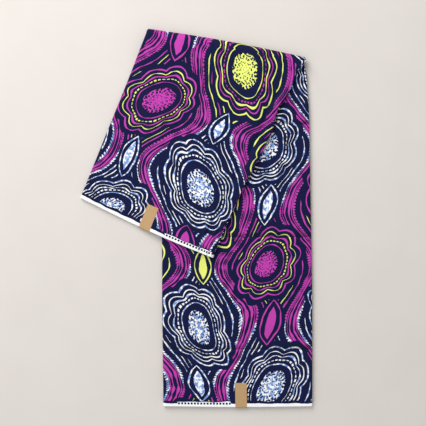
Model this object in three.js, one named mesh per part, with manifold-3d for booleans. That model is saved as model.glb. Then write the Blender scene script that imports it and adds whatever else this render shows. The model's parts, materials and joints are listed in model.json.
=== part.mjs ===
// A six yard piece of wax print cotton, folded into a long narrow pile of plies and laid flat.
// Its far end is turned back over the pile on a slant, so the turned part points down to the left
// and hangs over the pile's left edge on to the surface. All sizes are in millimetres. X runs
// across the pile, Y along it from the near selvedge to the turn, and Z up from the surface.
import * as THREE from 'three';
import Module from 'manifold-3d';
import { mergeVertices } from 'three/addons/utils/BufferGeometryUtils.js';

const wasm = await Module();
wasm.setup();

// The pile: eighteen plies of cotton, with the air that loose folding leaves between them.
const PLY_COUNT = 18;
const PLY_PITCH = 0.5;
const PILE = PLY_COUNT * PLY_PITCH;
const WALL = 1;
const GAP = 0.3;
const CORE_TOP = WALL + GAP;
const LEAF_OVERLAP = 0.12;

// The slanted edge where the pile turns over, and the loop that the plies make there.
const TURN_LEFT = new THREE.Vector2(-101.9, 391);
const TURN_RIGHT = new THREE.Vector2(224.6, 331.8);
const TURN_INNER_RADIUS = 2;
const TURN_RADIUS = PILE + TURN_INNER_RADIUS;
const TURN_STEPS = 8;
const PLIES_TURN_START = -90;
const COVER_TURN_START = -78;
const TURN_END = 90;
const TURN_BOW = 4;
const TURN_SIDE = new THREE.Vector2().subVectors(TURN_RIGHT, TURN_LEFT).normalize();
const TURN_OUT = new THREE.Vector2(-TURN_SIDE.y, TURN_SIDE.x);
const AXIS_LEFT = TURN_LEFT.clone().addScaledVector(TURN_OUT, -TURN_RADIUS);
const AXIS_RIGHT = TURN_RIGHT.clone().addScaledVector(TURN_OUT, -TURN_RADIUS);

// The lying part of the pile: its two long edges at each distance along it.
const NEAR_SELVEDGE_Y = -390.6;
const RUN_OUTLINE = [
  { y: NEAR_SELVEDGE_Y, left: -68.6, right: 240.2 },
  { y: -170, left: -71.3, right: 239.8 },
  { y: -45, left: -71.8, right: 238.2 },
  { y: 60, left: -76, right: 236.2 },
  { y: 245, left: -90, right: 231.8 },
];
const RUN = { rows: 12, columns: 7, margin: [8], foldedRight: true };

// The turned part: the length of its straight left edge, and how far its loose right edge
// draws in from a straight line at each distance along it.
const FLAP_CORNER = new THREE.Vector2(-240.7, 41.6);
const FLAP_ALONG = new THREE.Vector2(-0.374, -0.927);
const FLAP_INWARD = new THREE.Vector2(-0.927, 0.374);
const FLAP_RIGHT_EDGE = [
  { along: 29, inset: 4 },
  { along: 78, inset: 5 },
  { along: 125, inset: 12 },
  { along: 168, inset: 8 },
  { along: 224, inset: 11 },
  { along: 290, inset: 17.5 },
  { along: 356, inset: 21 },
  { along: 456, inset: 23 },
];
const FLAP_SELVEDGE_BOW = 4;
const FLAP = { rows: 22, columns: 17, margin: [62, 50, 40, 33, 27, 22, 17, 12, 8], foldedRight: false };

// Where the turned part lies: on the pile, sinking to the surface past the pile's left edge.
const SEAT_GAP = 0.4;
const DROP_START = 3;
const DROP_LENGTH = 46;
const LOOP_LENGTH = 55;
const HELD_UP_START = 10;
const HELD_UP_LENGTH = 80;

// Soft folds of the turned part, by distance along it, with the inset from its right edge at each
// fold's start and end. A positive height is a ridge and a negative one a trough.
const FLAP_FOLDS = [
  { name: 'edge roll', start: 15, end: 470, insets: [5, 11], width: 9, height: 3.6 },
  { name: 'valley beside the roll', start: 30, end: 460, insets: [12, 25], width: 5.5, height: -2.6 },
  { name: 'long swell', start: 90, end: 470, insets: [30, 46], width: 12, height: 1.7 },
  { name: 'gather near the edge', start: 320, end: 480, insets: [4, 5], width: 3.6, height: 1.8 },
  { name: 'gather behind the valley', start: 330, end: 480, insets: [34, 35], width: 4.5, height: 1.6 },
];
const FOLD_FADE = 60;

// Every ply has its columns of points between its long edges in the same places.
const MIDDLE_INSET = 8;

// The rounded long edges of a cover ply, as angles round the edge from below to the top.
const LEFT_NOSE = PILE / 2;
const LEFT_NOSE_ANGLES = [-55, -20, 15, 50, 90];
const RIGHT_NOSE = 2.4;
const RIGHT_NOSE_ANGLES = [90, 40, -5, -50];

// The hidden plies, in leaves from the top down. Depths run from the pile's top; rightInset and
// endInset say how far each leaf stays back from the loose edge and from the selvedge.
const RUN_LEAVES = [
  { top: CORE_TOP, bottom: 4.6, leftInset: 5.4, rightInset: 3.2, endInset: -0.9 },
  { top: 4.6, bottom: 6.1, leftInset: 2.4, rightInset: 0.4, endInset: 1.3 },
  { top: 6.1, bottom: 7.6, leftInset: 4.2, rightInset: 1.9, endInset: -1.4 },
  { top: 7.6, bottom: PILE, leftInset: 4.4, rightInset: 0.9, endInset: 0.4 },
];
const FLAP_LEAVES = [
  { top: CORE_TOP, bottom: 3, leftInset: 5.4, rightInset: -2.2, endInset: 1.2 },
  { top: 3, bottom: 5, leftInset: 2.4, rightInset: 1.6, endInset: -1.2 },
  { top: 5, bottom: 7, leftInset: 3.2, rightInset: -1.2, endInset: 0.6 },
  { top: 7, bottom: PILE, leftInset: 4.4, rightInset: 0.8, endInset: -0.6 },
];

// A leaf's loose edge is rounded: each column's distance back and pinch, in half thicknesses.
const LEAF_EDGE = [
  { back: 0.9, pinch: 0 },
  { back: 0.25, pinch: 0.35 },
  { back: 0, pinch: 0.75 },
];

// The paper tabs that are stuck over the selvedges. They carry no mark.
const TAB_WIDTH = 24;
const TAB_THICKNESS = 0.8;
const TAB_END_CLEARANCE = 2;
const TAB_LIFT = 1.5;
const RUN_TAB = { across: 92.5, length: 48, standOff: 0.3 };
const FLAP_TAB = { across: 147.5, length: 54, standOff: 0.7 };
const TAB_TURN_ANGLES = [90, 60, 30, 0];
const TAB_COLUMNS = 3;
const TAB_ROWS = 6;

// Points closer than this are one point where leaves are joined.
const MERGE_DISTANCE = 1e-4;

const FINISHES = {
  print: { color: new THREE.Color('#222a63'), roughness: 0.75 },
  plies: { color: new THREE.Color('#9a2f8b'), roughness: 0.85 },
  paper: { color: new THREE.Color('#c3a071'), roughness: 0.8 },
};

const radians = THREE.MathUtils.degToRad;
const smooth = (value, low, high) => THREE.MathUtils.smoothstep(value, low, high);
const mix = (from, to, share) => from + (to - from) * share;

// A smooth curve through flat points, for the long edges.
function edgeCurve(points) {
  const placed = points.map((point) => new THREE.Vector3(point.x, point.y, 0));
  return new THREE.CatmullRomCurve3(placed, false, 'centripetal');
}

const RUN_LEFT_CURVE = edgeCurve([...RUN_OUTLINE.map((row) => ({ x: row.left, y: row.y })), AXIS_LEFT]);
const RUN_RIGHT_CURVE = edgeCurve([...RUN_OUTLINE.map((row) => ({ x: row.right, y: row.y })), AXIS_RIGHT]);
const FLAP_LEFT_CURVE = edgeCurve([AXIS_LEFT, FLAP_CORNER]);
const FLAP_RIGHT_CURVE = edgeCurve([AXIS_RIGHT, ...FLAP_RIGHT_EDGE.map((row) => TURN_RIGHT.clone()
  .addScaledVector(FLAP_ALONG, row.along)
  .addScaledVector(FLAP_INWARD, row.inset))]);

// How far a nearly straight edge bows out at a share of its length.
const bowAt = (bow, share) => bow * Math.sin(Math.PI * THREE.MathUtils.clamp(share, 0, 1));

// The pile's left edge at a distance y along it.
function runLeftAt(y) {
  const rows = [...RUN_OUTLINE, { y: AXIS_LEFT.y, left: AXIS_LEFT.x }];
  const last = rows.findIndex((row) => row.y > y);
  if (last === 0) return rows[0].left;
  if (last < 0) return rows[rows.length - 1].left;
  const [before, after] = [rows[last - 1], rows[last]];
  return mix(before.left, after.left, (y - before.y) / (after.y - before.y));
}

// Height of the turned part's underside over the surface, at a place and a distance past the turn.
function seatHeight(x, y, pastTurn) {
  const edge = runLeftAt(y) - DROP_START;
  const overPile = smooth(x, edge - DROP_LENGTH, edge);
  const nearTurn = 1 - smooth(pastTurn, HELD_UP_START, HELD_UP_START + HELD_UP_LENGTH);
  const carried = 1 - (1 - overPile) * (1 - nearTurn);
  const loop = (2 * TURN_INNER_RADIUS - SEAT_GAP) * (1 - smooth(pastTurn, 0, LOOP_LENGTH));
  return (PILE + SEAT_GAP) * carried + loop;
}

// How far the soft folds raise the turned part's top.
function foldHeight(along, inset) {
  return FLAP_FOLDS.reduce((sum, fold) => {
    const share = THREE.MathUtils.clamp((along - fold.start) / (fold.end - fold.start), 0, 1);
    const fade = smooth(along, fold.start, fold.start + FOLD_FADE);
    const away = (inset - mix(...fold.insets, Math.sqrt(share))) / fold.width;
    return sum + fold.height * fade * Math.exp(-away * away);
  }, 0);
}

// A row of the lying pile: share runs from the near selvedge to the turn, and push moves the
// row's points towards the selvedge.
function runRow(share, push = 0) {
  const left = RUN_LEFT_CURVE.getPointAt(share);
  const right = RUN_RIGHT_CURVE.getPointAt(share);
  const width = left.distanceTo(right);
  return {
    width,
    place: (across, depth) => {
      const point = left.clone().lerp(right, across / width);
      return point.set(point.x, point.y - push, PILE - depth);
    },
  };
}

// A row in the turn's loop: the angle runs from under the pile to over it.
function turnRow(angle) {
  const width = AXIS_LEFT.distanceTo(AXIS_RIGHT);
  return {
    width,
    place: (across, depth) => {
      const radius = TURN_RADIUS - depth;
      const flat = AXIS_LEFT.clone()
        .addScaledVector(TURN_SIDE, across)
        .addScaledVector(TURN_OUT, (radius + bowAt(TURN_BOW, across / width)) * Math.cos(angle));
      return new THREE.Vector3(flat.x, flat.y, TURN_RADIUS + radius * Math.sin(angle));
    },
  };
}

// A row of the turned part past its loop: share runs from the turn to the far selvedge, and push
// moves the row's points on past the selvedge.
function flapRow(share, push = 0) {
  const left = FLAP_LEFT_CURVE.getPointAt(share);
  const right = FLAP_RIGHT_CURVE.getPointAt(share);
  const width = left.distanceTo(right);
  const ahead = FLAP_LEFT_CURVE.getTangentAt(share).lerp(FLAP_RIGHT_CURVE.getTangentAt(share), 0.5);
  const leftPast = share * FLAP_LEFT_CURVE.getLength();
  const rightPast = share * FLAP_RIGHT_CURVE.getLength();
  const bow = FLAP_SELVEDGE_BOW * share ** 3;
  return {
    width,
    place: (across, depth) => {
      const point = left.clone().lerp(right, across / width);
      const pastTurn = mix(leftPast, rightPast, across / width);
      const seat = seatHeight(point.x, point.y, pastTurn);
      const thick = PILE + foldHeight(rightPast, width - across);
      const core = thick - CORE_TOP;
      const height = depth < CORE_TOP ? thick - depth : (core * (PILE - depth)) / (PILE - CORE_TOP);
      point.addScaledVector(ahead, push + bowAt(bow, across / width));
      return point.setZ(seat + height);
    },
  };
}

// The turned part's rows, from its start under the pile to the far selvedge.
function flapRows(push, turnStart = PLIES_TURN_START) {
  const rows = [];
  for (let step = 0; step <= TURN_STEPS; step += 1) {
    rows.push(turnRow(radians(mix(turnStart, TURN_END, step / TURN_STEPS))));
  }
  for (let step = 1; step <= FLAP.rows; step += 1) {
    rows.push(flapRow(step / FLAP.rows, step === FLAP.rows ? push : 0));
  }
  return rows;
}

// The lying part's rows, from the near selvedge to just short of the turn.
function runRows(push) {
  const rows = [];
  for (let step = 0; step <= RUN.rows; step += 1) {
    const last = step === RUN.rows;
    const row = runRow(step / RUN.rows, step === 0 ? push : 0);
    const place = (across, depth) => {
      const point = row.place(across, depth);
      return last ? point.sub(new THREE.Vector3(TURN_OUT.x * GAP, TURN_OUT.y * GAP, 0)) : point;
    };
    rows.push({ width: row.width, place });
  }
  return rows;
}

// A closed solid between an outer and an inner grid of points, with the same rows and columns.
function solidBetween(outer, inner) {
  const rows = outer.length;
  const columns = outer[0].length;
  const [lastRow, lastColumn] = [rows - 1, columns - 1];
  const positions = [...outer, ...inner].flat().flatMap((point) => point.toArray());
  const outerAt = (row, column) => row * columns + column;
  const innerAt = (row, column) => (rows + row) * columns + column;
  const index = [];
  const quad = (a, b, c, d) => index.push(a, b, c, a, c, d);
  for (let r = 0; r < lastRow; r += 1) {
    for (let c = 0; c < lastColumn; c += 1) {
      quad(outerAt(r, c), outerAt(r, c + 1), outerAt(r + 1, c + 1), outerAt(r + 1, c));
      quad(innerAt(r, c), innerAt(r + 1, c), innerAt(r + 1, c + 1), innerAt(r, c + 1));
    }
    const [here, next] = [[r, lastColumn], [r + 1, lastColumn]];
    quad(outerAt(r, 0), outerAt(r + 1, 0), innerAt(r + 1, 0), innerAt(r, 0));
    quad(innerAt(...here), innerAt(...next), outerAt(...next), outerAt(...here));
  }
  for (let c = 0; c < lastColumn; c += 1) {
    const [here, next] = [[lastRow, c], [lastRow, c + 1]];
    quad(innerAt(0, c), innerAt(0, c + 1), outerAt(0, c + 1), outerAt(0, c));
    quad(outerAt(...here), outerAt(...next), innerAt(...next), innerAt(...here));
  }
  const geometry = new THREE.BufferGeometry();
  geometry.setAttribute('position', new THREE.Float32BufferAttribute(positions, 3));
  geometry.setIndex(index);
  return facingOut(geometry);
}

// Turns a closed mesh's faces round if they point in.
function facingOut(geometry) {
  const position = geometry.getAttribute('position');
  const index = geometry.getIndex().array;
  const corner = (place) => new THREE.Vector3().fromBufferAttribute(position, index[place]);
  let volume = 0;
  for (let i = 0; i < index.length; i += 3) {
    volume += corner(i).dot(corner(i + 1).cross(corner(i + 2)));
  }
  if (volume < 0) {
    for (let i = 0; i < index.length; i += 3) [index[i + 1], index[i + 2]] = [index[i + 2], index[i + 1]];
  }
  return geometry;
}

// One solid from several that overlap.
function joined(geometries) {
  const solids = geometries.map((geometry) => {
    const merged = mergeVertices(geometry, MERGE_DISTANCE);
    return new wasm.Manifold(new wasm.Mesh({
      numProp: 3,
      vertProperties: merged.getAttribute('position').array,
      triVerts: new Uint32Array(merged.getIndex().array),
    }));
  });
  const mesh = solids.reduce((whole, solid) => whole.add(solid)).getMesh();
  const geometry = new THREE.BufferGeometry();
  geometry.setAttribute('position', new THREE.BufferAttribute(mesh.vertProperties, 3));
  geometry.setIndex(new THREE.BufferAttribute(mesh.triVerts, 1));
  return geometry;
}

// The places across, between the two long edges, where every ply has a column of points.
function middleAcross(width, part) {
  const last = width - part.margin[0];
  const shares = Array.from({ length: part.columns }, (_, step) => step / part.columns);
  const even = shares.map((share) => mix(MIDDLE_INSET, last, share));
  return [...even, ...part.margin.map((inset) => width - inset)];
}

// The outermost ply of one part of the pile, rounded under at its folded long edges.
function coverPly(rows, part) {
  const nose = (centre, radius, side) => (degrees) => {
    const [cos, sin] = [Math.cos(radians(degrees)), Math.sin(radians(degrees))];
    const at = (reach) => ({ across: centre + side * reach * cos, depth: radius - reach * sin });
    return { outer: at(radius), inner: at(radius - WALL) };
  };
  const flat = (across) => ({ outer: { across, depth: 0 }, inner: { across, depth: WALL } });
  const columns = (width) => [
    ...LEFT_NOSE_ANGLES.map(nose(LEFT_NOSE, LEFT_NOSE, -1)),
    ...middleAcross(width, part).map(flat),
    ...(part.foldedRight ? RIGHT_NOSE_ANGLES.map(nose(width - RIGHT_NOSE, RIGHT_NOSE, 1)) : [flat(width)]),
  ];
  const face = (side) => rows.map((row) => columns(row.width)
    .map((column) => row.place(column[side].across, column[side].depth)));
  return solidBetween(face('outer'), face('inner'));
}

// One leaf of hidden plies, square at its left end and rounded at its loose right edge.
function leafOfPlies(rows, part, leaf) {
  const bottom = Math.min(leaf.bottom + LEAF_OVERLAP, PILE);
  const half = (bottom - leaf.top) / 2;
  const columns = (width) => [
    { across: leaf.leftInset, pinch: 0 },
    ...middleAcross(width, part).map((across) => ({ across, pinch: 0 })),
    ...LEAF_EDGE.map(({ back, pinch }) => (
      { across: width - leaf.rightInset - back * half, pinch: pinch * half }
    )),
  ];
  const face = (depth, sign) => rows.map((row) => columns(row.width)
    .map(({ across, pinch }) => row.place(across, depth + sign * pinch)));
  return solidBetween(face(leaf.top, 1), face(bottom, -1));
}

// The hidden plies of one part of the pile: its leaves, joined into one solid.
function hiddenPlies(rowsAt, part, leaves) {
  return joined(leaves.map((leaf) => leafOfPlies(rowsAt(-leaf.endInset), part, leaf)));
}

// A paper tab: it lies on the cover ply, turns over the plies' ends and stops above their foot.
// place gives a point over the pile by the distance from the selvedge, across and above the top.
function paperTab(place, { length, standOff }) {
  const profile = [];
  for (let step = 0; step <= TAB_ROWS; step += 1) {
    profile.push({ back: mix(length, 0, step / TAB_ROWS), rise: standOff, tilt: 90 });
  }
  for (const tilt of TAB_TURN_ANGLES.slice(1)) {
    const bend = radians(tilt);
    profile.push({
      back: -TAB_END_CLEARANCE * Math.cos(bend),
      rise: standOff - TAB_END_CLEARANCE * (1 - Math.sin(bend)),
      tilt,
    });
  }
  profile.push({ back: -TAB_END_CLEARANCE, rise: TAB_LIFT - PILE, tilt: 0 });
  const face = (share) => profile.map(({ back, rise, tilt }) => {
    const out = share * TAB_THICKNESS;
    const [cos, sin] = [Math.cos(radians(tilt)), Math.sin(radians(tilt))];
    return Array.from({ length: TAB_COLUMNS + 1 }, (_, column) => {
      const across = (column / TAB_COLUMNS - 0.5) * TAB_WIDTH;
      return place(back - out * cos, across, rise + out * sin);
    });
  });
  return solidBetween(face(1), face(0));
}

// The tab on the lying part's selvedge.
function runTab() {
  return paperTab((back, across, rise) => new THREE.Vector3(
    RUN_TAB.across + across,
    NEAR_SELVEDGE_Y + back,
    PILE + rise,
  ), RUN_TAB);
}

// The tab on the turned part's selvedge.
function flapTab() {
  const length = FLAP_RIGHT_CURVE.getLength();
  return paperTab((back, across, rise) => {
    const row = flapRow(1 - Math.max(back, 0) / length, Math.max(-back, 0));
    const point = row.place(FLAP_TAB.across + across, 0);
    return point.setZ(point.z + rise);
  }, FLAP_TAB);
}

// A named mesh in one of the finishes. Neither cloth nor paper is metallic.
function named(name, geometry, finish) {
  const mesh = new THREE.Mesh(geometry, new THREE.MeshStandardMaterial({ ...finish, metalness: 0 }));
  mesh.name = name;
  return mesh;
}

const cloth = new THREE.Group();
cloth.name = 'folded_wax_print';
cloth.add(
  named('run_plies', hiddenPlies(runRows, RUN, RUN_LEAVES), FINISHES.plies),
  named('run_cover', coverPly(runRows(0), RUN), FINISHES.print),
  named('turned_plies', hiddenPlies(flapRows, FLAP, FLAP_LEAVES), FINISHES.plies),
  named('turned_cover', coverPly(flapRows(0, COVER_TURN_START), FLAP), FINISHES.print),
  named('run_tab', runTab(), FINISHES.paper),
  named('turned_tab', flapTab(), FINISHES.paper),
);

export default cloth;
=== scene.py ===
"""A folded length of wax print cotton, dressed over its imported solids.

Six yards of plain woven cotton are folded into a long pile of eighteen plies. The pile lies
flat, and its far end is turned back over it on a slant, past its left edge and down to the
floor. The script lays the plies that show as thin sheets of cloth, dresses them in a printed
cotton finish, adds the two blank paper tabs, and lights the whole on a plain floor, seen from
straight above. Sizes are in millimetres up to the point where a mesh is made, in metres.
"""

from __future__ import annotations

import json
import logging
import math
from abc import ABC, abstractmethod
from bisect import bisect_right
from collections.abc import Callable, Mapping, Sequence
from dataclasses import dataclass, field
from enum import Enum
from functools import partial
from typing import Any, ClassVar

import bpy
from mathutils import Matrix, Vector, noise

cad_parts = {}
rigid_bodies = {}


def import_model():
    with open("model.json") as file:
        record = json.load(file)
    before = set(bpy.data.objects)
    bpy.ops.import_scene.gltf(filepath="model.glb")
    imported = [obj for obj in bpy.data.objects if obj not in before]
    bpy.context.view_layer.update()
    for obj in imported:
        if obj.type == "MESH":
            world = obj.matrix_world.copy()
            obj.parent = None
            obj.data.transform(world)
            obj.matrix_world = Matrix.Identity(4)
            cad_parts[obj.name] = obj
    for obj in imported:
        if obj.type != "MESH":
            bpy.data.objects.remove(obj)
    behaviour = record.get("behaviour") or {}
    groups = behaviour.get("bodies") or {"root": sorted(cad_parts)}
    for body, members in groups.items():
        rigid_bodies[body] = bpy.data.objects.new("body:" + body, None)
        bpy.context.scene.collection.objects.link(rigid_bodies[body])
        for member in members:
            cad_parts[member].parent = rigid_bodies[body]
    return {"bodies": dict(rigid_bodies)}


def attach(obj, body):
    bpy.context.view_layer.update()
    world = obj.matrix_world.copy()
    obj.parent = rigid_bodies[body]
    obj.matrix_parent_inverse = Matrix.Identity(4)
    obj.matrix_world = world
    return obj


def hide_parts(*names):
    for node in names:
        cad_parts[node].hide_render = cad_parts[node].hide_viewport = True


LOG = logging.getLogger("folded_cloth")
MM = 0.001
CLOTH_MAP = "ClothPlace"


def mix(low: float, high: float, share: float) -> float:
    """Returns the number at a share of the way from low to high."""
    return low + (high - low) * share


def smooth(value: float, low: float, high: float) -> float:
    """Returns a soft step from 0 at low to 1 at high."""
    share = min(1.0, max(0.0, (value - low) / (high - low)))
    return share * share * (3 - 2 * share)


def bump(value: float, centre: float, width: float) -> float:
    """Returns a bell of height 1 at centre, with the given width."""
    return math.exp(-(((value - centre) / width) ** 2))


def steps(first: float, last: float, count: int) -> list[float]:
    """Returns count + 1 evenly spaced numbers from first to last."""
    return [mix(first, last, step / count) for step in range(count + 1)]


def waver(a: float, b: float = 0.0, seed: float = 0.0) -> float:
    """Returns a smooth irregular number, about -1 to 1, for a place in a plane."""
    return noise.noise(Vector((a, b, seed * 7.31 + 0.5)))


class EdgeCurve:
    """A smooth flat curve through the points of one long edge."""

    FINENESS = 24

    def __init__(self, points: Sequence[tuple[float, float]]) -> None:
        """Samples the curve.

        Args:
            points: The edge's points in order, in millimetres.
        """
        knots = [Vector(point) for point in points]
        knots = [2 * knots[0] - knots[1], *knots, 2 * knots[-1] - knots[-2]]
        self.places: list[Vector] = [knots[1]]
        for before, start, end, after in zip(knots, knots[1:], knots[2:], knots[3:]):
            for step in range(1, self.FINENESS + 1):
                self.places.append(self._between(before, start, end, after, step / self.FINENESS))
        self.lengths = [0.0]
        for start, end in zip(self.places, self.places[1:]):
            self.lengths.append(self.lengths[-1] + (end - start).length)

    @staticmethod
    def _between(before: Vector, start: Vector, end: Vector, after: Vector, share: float) -> Vector:
        """Returns a point between two knots, with tangents from their neighbours.

        Args:
            before: The knot before them.
            start: The first knot.
            end: The second knot.
            after: The knot after them.
            share: How far on the point lies from the first to the second.
        """
        sides = ((before, start), (start, end), (end, after))
        d0, d1, d2 = (math.sqrt((b - a).length) for a, b in sides)
        leave = ((start - before) / d0 - (end - before) / (d0 + d1) + (end - start) / d1) * d1
        arrive = ((end - start) / d1 - (after - start) / (d1 + d2) + (after - end) / d2) * d1
        s2, s3 = share**2, share**3
        return (
            start * (2 * s3 - 3 * s2 + 1)
            + leave * (s3 - 2 * s2 + share)
            + end * (3 * s2 - 2 * s3)
            + arrive * (s3 - s2)
        )

    @property
    def length(self) -> float:
        """The curve's whole length."""
        return self.lengths[-1]

    def at(self, share: float) -> Vector:
        """Returns the point at a share of the curve's length.

        Args:
            share: The share, from 0 to 1.
        """
        wanted = share * self.length
        place = min(max(bisect_right(self.lengths, wanted), 1), len(self.lengths) - 1)
        low, high = self.lengths[place - 1], self.lengths[place]
        return self.places[place - 1].lerp(self.places[place], (wanted - low) / (high - low))

    def across_at(self, y: float) -> float:
        """Returns the curve's X at a distance y, for an edge that runs along Y.

        Args:
            y: The distance.
        """
        place = min(max(bisect_right([p.y for p in self.places], y), 1), len(self.places) - 1)
        low, high = self.places[place - 1], self.places[place]
        return mix(low.x, high.x, (y - low.y) / (high.y - low.y))


@dataclass(frozen=True)
class Row:
    """One row of points across the pile.

    place takes the distance across from the left edge, the depth under the pile's top and a
    push past the selvedge, and along gives the distance along the cloth at a place across.
    """

    width: float
    from_end: float
    place: Callable[[float, float, float], Vector]
    along: Callable[[float], float]


@dataclass(frozen=True)
class Column:
    """One column of points along the pile, at share times the row's width plus shift."""

    share: float
    shift: float
    depth: float

    def across(self, width: float) -> float:
        """Returns the column's distance from the left edge in a row of this width."""
        return self.share * width + self.shift


@dataclass(frozen=True)
class Pile:
    """The pile: eighteen plies, and the air that loose folding leaves between them."""

    plies: int = 18
    pitch: float = 0.5
    ply: float = 0.34
    free: float = 1.3
    woven_width: float = 1170.0
    selvedge_y: float = -390.6
    selvedge_bow: float = 1.6
    outline: tuple[tuple[float, float, float], ...] = (
        (-390.6, -68.6, 240.2),
        (-170.0, -71.3, 239.8),
        (-45.0, -71.8, 238.2),
        (60.0, -76.0, 236.2),
        (245.0, -90.0, 231.8),
    )

    @property
    def height(self) -> float:
        """The pile's height."""
        return self.plies * self.pitch

    @property
    def nose(self) -> float:
        """The radius of the pile's folded left edge."""
        return self.height / 2


@dataclass(frozen=True)
class Turn:
    """The slanted edge where the pile turns over, and the loop of its plies there."""

    left: tuple[float, float] = (-101.9, 391.0)
    right: tuple[float, float] = (224.6, 331.8)
    inner_radius: float = 2.0
    bow: float = 4.0


@dataclass(frozen=True)
class Flap:
    """The turned part: its outline, and where it lies on the pile and on the floor."""

    corner: tuple[float, float] = (-240.7, 41.6)
    ahead: tuple[float, float] = (-0.374, -0.927)
    inward: tuple[float, float] = (-0.927, 0.374)
    right_edge: tuple[tuple[float, float], ...] = (
        (29.0, 4.0),
        (78.0, 5.0),
        (125.0, 12.0),
        (168.0, 8.0),
        (224.0, 11.0),
        (290.0, 17.5),
        (356.0, 21.0),
        (456.0, 23.0),
    )
    selvedge_bow: float = 4.0
    seat_gap: float = 0.4
    drop_start: float = 3.0
    drop_length: float = 46.0
    loop_length: float = 55.0
    held_up_start: float = 10.0
    held_up_length: float = 80.0


@dataclass(frozen=True)
class SoftFold:
    """A soft fold of the turned part: a ridge, or a trough where its height is negative."""

    start: float
    end: float
    inset_start: float
    inset_end: float
    width: float
    height: float

    def rise(self, along: float, inset: float) -> float:
        """Returns how far the fold lifts the cloth at a place.

        Args:
            along: How far the place lies past the turn.
            inset: How far it lies in from the loose edge.
        """
        share = min(1.0, max(0.0, (along - self.start) / (self.end - self.start)))
        fade = smooth(along, self.start, self.start + 60)
        centre = mix(self.inset_start, self.inset_end, math.sqrt(share))
        return self.height * fade * bump(inset, centre, self.width)


PILE_FOLDS = (
    SoftFold(15, 470, 5, 11, 9, 3.6),
    SoftFold(30, 460, 12, 25, 5.5, -2.6),
    SoftFold(90, 470, 30, 46, 12, 1.7),
    SoftFold(320, 480, 4, 5, 3.6, 1.8),
    SoftFold(330, 480, 34, 35, 4.5, 1.6),
)
TOP_PLY_FOLDS = (
    SoftFold(205, 330, 1, 9, 2.6, -0.7),
    SoftFold(150, 300, 14, 17, 3.0, 0.9),
    SoftFold(60, 200, 30, 52, 6.0, 0.8),
    SoftFold(230, 480, 58, 74, 9.0, 0.9),
    SoftFold(325, 480, 13, 15, 2.8, 2.6),
    SoftFold(345, 480, 23, 25, 3.0, 2.8),
)


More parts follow.
